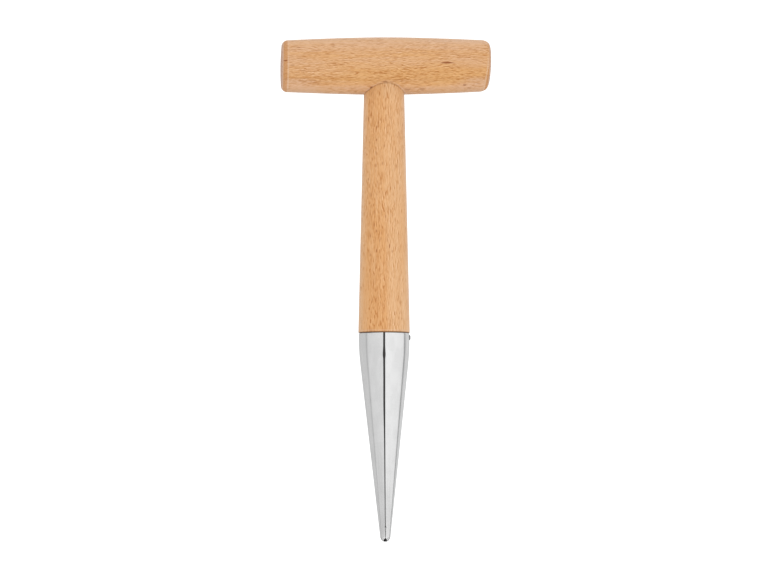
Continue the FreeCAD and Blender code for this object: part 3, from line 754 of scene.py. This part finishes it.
# ---- pieces --------------------------------------------------------------------------
pieces = [
    (make_crossbar(), "crossbar", "beech_bar", beech("beech_along_bar", "bar", 2.3)),
    (make_stem(), "stem", "beech_stem", beech("beech_along_stem", "stem", 7.9)),
    (make_point(), "steel_point", "stainless_sheet", satin_steel("satin_stainless")),
    (make_nail(), "collar_nail", "nail_steel", nail_steel("dull_nail_steel")),
]
for obj, node, slot, material in pieces:
    obj.data.materials.clear()
    obj.data.materials.append(material)
    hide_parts(node)
    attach(obj, "root")

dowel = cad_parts["handle_dowel"]
dowel_material = dowel_wood("dowel_birch")
if dowel.material_slots:
    for s in dowel.material_slots:
        s.link = "OBJECT"
        s.material = dowel_material
else:
    dowel.data.materials.append(dowel_material)

# ---- studio ----------------------------------------------------------------------------
CAM_YAW, CAM_ELEV, CAM_DIST = math.radians(4.5), math.radians(-4.089), 0.99694
TARGET = Vector((-TIP_X * MM, 0.0, 0.13876))

floor_mesh = bpy.data.meshes.new("studio_floor")
R_FLOOR, N_FLOOR = 4.0, 64
fv = [(0, 0, 0)] + [(R_FLOOR * math.cos(t), R_FLOOR * math.sin(t), 0)
                    for t in np.linspace(0, 2 * math.pi, N_FLOOR, endpoint=False)]
floor_mesh.from_pydata(fv, [], [(0, i + 1, (i + 1) % N_FLOOR + 1) for i in range(N_FLOOR)])
floor = bpy.data.objects.new("studio_floor", floor_mesh)
floor.location = (0, 0, -1.2)
bpy.context.scene.collection.objects.link(floor)
fm = bpy.data.materials.new("studio_floor")
fm.use_nodes = True
fb = fm.node_tree.nodes["Principled BSDF"]
fb.inputs["Base Color"].default_value = (0.9, 0.9, 0.9, 1)
fb.inputs["Roughness"].default_value = 0.8
fb.inputs["Emission Color"].default_value = (1, 1, 1, 1)
fb.inputs["Emission Strength"].default_value = 0.35
floor_mesh.materials.append(fm)
floor.visible_diffuse = floor.visible_glossy = floor.visible_transmission = floor.visible_shadow = False

world = bpy.data.worlds.new("light_tent")
bpy.context.scene.world = world
world.use_nodes = True
wt = world.node_tree
wt.nodes.clear()
w_out = wt.nodes.new("ShaderNodeOutputWorld")
coord = wt.nodes.new("ShaderNodeTexCoord")
sep = wt.nodes.new("ShaderNodeSeparateXYZ")
wt.links.new(coord.outputs["Generated"], sep.inputs[0])


def wmath(op, a, b=0.0, clamp=False):
    n = wt.nodes.new("ShaderNodeMath")
    n.operation, n.use_clamp = op, clamp
    for v, s in zip((a, b), n.inputs):
        if isinstance(v, bpy.types.NodeSocket):
            wt.links.new(v, s)
        else:
            s.default_value = v
    return n.outputs[0]


# bearing round the tent from the camera's own bearing, right-hand side positive
bearing = wmath("ARCTAN2", sep.outputs[0], wmath("MULTIPLY", sep.outputs[1], -1.0))
bearing = wmath("ADD", bearing, CAM_YAW)
share = wmath("FRACT", wmath("ADD", wmath("DIVIDE", bearing, 2 * math.pi), 0.5))
walls = wt.nodes.new("ShaderNodeValToRGB")
walls.color_ramp.interpolation = "LINEAR"
PANELS = [(-180, 0.70), (-150, 0.72), (-128, 0.85), (-95, 0.89), (-90, 0.66), (-86, 0.66), (-82, 0.97),
          (-45, 1.02), (-14, 1.08), (-4, 1.10), (4, 1.27), (14, 1.29), (45, 1.24), (90, 1.18), (101, 1.14),
          (105, 0.44), (111, 0.48), (117, 0.93), (142, 0.92), (160, 0.72), (180, 0.70)]
ramp = walls.color_ramp
while len(ramp.elements) < len(PANELS):
    ramp.elements.new(0.5)
for e, (deg, v) in zip(ramp.elements, PANELS):
    e.position = deg / 360.0 + 0.5
for e, (deg, v) in zip(sorted(ramp.elements, key=lambda q: q.position), PANELS):
    e.color = (v / 1.5, v / 1.5, v / 1.5, 1)
wt.links.new(share, walls.inputs[0])
# over the top and underneath, the light follows the angle about the camera's own
# right-hand axis: 0 towards the camera, 90 overhead, 180 behind, -90 below


def wramp(v, a, b, lo=0.0, hi=1.0):
    n = wt.nodes.new("ShaderNodeMapRange")
    n.interpolation_type = "SMOOTHSTEP"
    for val, i in ((v, 0), (a, 1), (b, 2), (lo, 3), (hi, 4)):
        if isinstance(val, bpy.types.NodeSocket):
            wt.links.new(val, n.inputs[i])
        else:
            n.inputs[i].default_value = val
    return n.outputs[0]


def wmix(fac, a, b):
    n = wt.nodes.new("ShaderNodeMix")
    n.data_type = "FLOAT"
    for val, k in ((fac, 0), (a, 2), (b, 3)):
        if isinstance(val, bpy.types.NodeSocket):
            wt.links.new(val, n.inputs[k])
        else:
            n.inputs[k].default_value = val
    return n.outputs[0]


dx, dy, dz = sep.outputs
fwd = wmath("SUBTRACT", wmath("MULTIPLY", dy, -math.cos(CAM_YAW)), wmath("MULTIPLY", dx, math.sin(CAM_YAW)))
roll = wmath("ARCTAN2", dz, fwd)
hoop = wt.nodes.new("ShaderNodeValToRGB")
HOOP = [(-180, 0.55), (-150, 0.34), (-125, 0.55), (-108, 0.95), (-88, 1.32), (-79, 0.72), (-62, 0.78), (-48, 1.25), (-20, 1.38),
        (0, 1.25), (15, 1.22), (45, 1.15), (60, 0.66), (112, 0.64), (125, 0.75), (150, 0.95), (180, 1.05)]
while len(hoop.color_ramp.elements) < len(HOOP):
    hoop.color_ramp.elements.new(0.5)
for e, (deg, v) in zip(hoop.color_ramp.elements, HOOP):
    e.position = deg / 360.0 + 0.5
for e, (deg, v) in zip(sorted(hoop.color_ramp.elements, key=lambda q: q.position), HOOP):
    e.color = (v / 1.5, v / 1.5, v / 1.5, 1)
wt.links.new(wmath("ADD", wmath("DIVIDE", roll, 2 * math.pi), 0.5), hoop.inputs[0])
# one long soft box overhead
box = wmath("MULTIPLY", wramp(roll, math.radians(48), math.radians(66)), wramp(roll, math.radians(128), math.radians(110)))
box = wmath("MULTIPLY", box, wramp(wmath("ABSOLUTE", dx), 0.42, 0.26))
fall = wramp(dz, math.sin(math.radians(-13.2)), math.sin(math.radians(-16.2)), 1.0, 0.85)
level = wmix(wramp(wmath("ABSOLUTE", dz), 0.30, 0.50), wmath("MULTIPLY", walls.outputs[0], fall), hoop.outputs[0])
level = wmath("ADD", level, wmath("MULTIPLY", box, 0.74 / 1.5))
tent = wt.nodes.new("ShaderNodeBackground")
wt.links.new(level, tent.inputs[0])
tent.inputs[1].default_value = 1.5
paper = wt.nodes.new("ShaderNodeBackground")
paper.inputs[0].default_value = (1, 1, 1, 1)
paper.inputs[1].default_value = 1.25
path = wt.nodes.new("ShaderNodeLightPath")
pick = wt.nodes.new("ShaderNodeMixShader")
wt.links.new(path.outputs["Is Camera Ray"], pick.inputs[0])
wt.links.new(tent.outputs[0], pick.inputs[1])
wt.links.new(paper.outputs[0], pick.inputs[2])
wt.links.new(pick.outputs[0], w_out.inputs[0])

scene = bpy.context.scene
scene.view_settings.view_transform = "Standard"
scene.view_settings.look = "None"
scene.view_settings.exposure = 0.0
scene.view_settings.gamma = 1.0

cam_data = bpy.data.cameras.new("camera")
cam = bpy.data.objects.new("camera", cam_data)
scene.collection.objects.link(cam)
scene.camera = cam
away = Vector((-math.sin(CAM_YAW) * math.cos(CAM_ELEV), -math.cos(CAM_YAW) * math.cos(CAM_ELEV), math.sin(CAM_ELEV)))
cam.location = TARGET + away * CAM_DIST
cam.rotation_euler = (TARGET - cam.location).to_track_quat("-Z", "Y").to_euler()
cam_data.sensor_fit = "HORIZONTAL"
cam_data.sensor_width = 36.0
cam_data.lens = 36.0 * 1800.0 / 772.0
cam_data.shift_x = (386.0 - 384.077) / 772.0
cam_data.clip_start = 0.05
cam_data.clip_end = 50.0
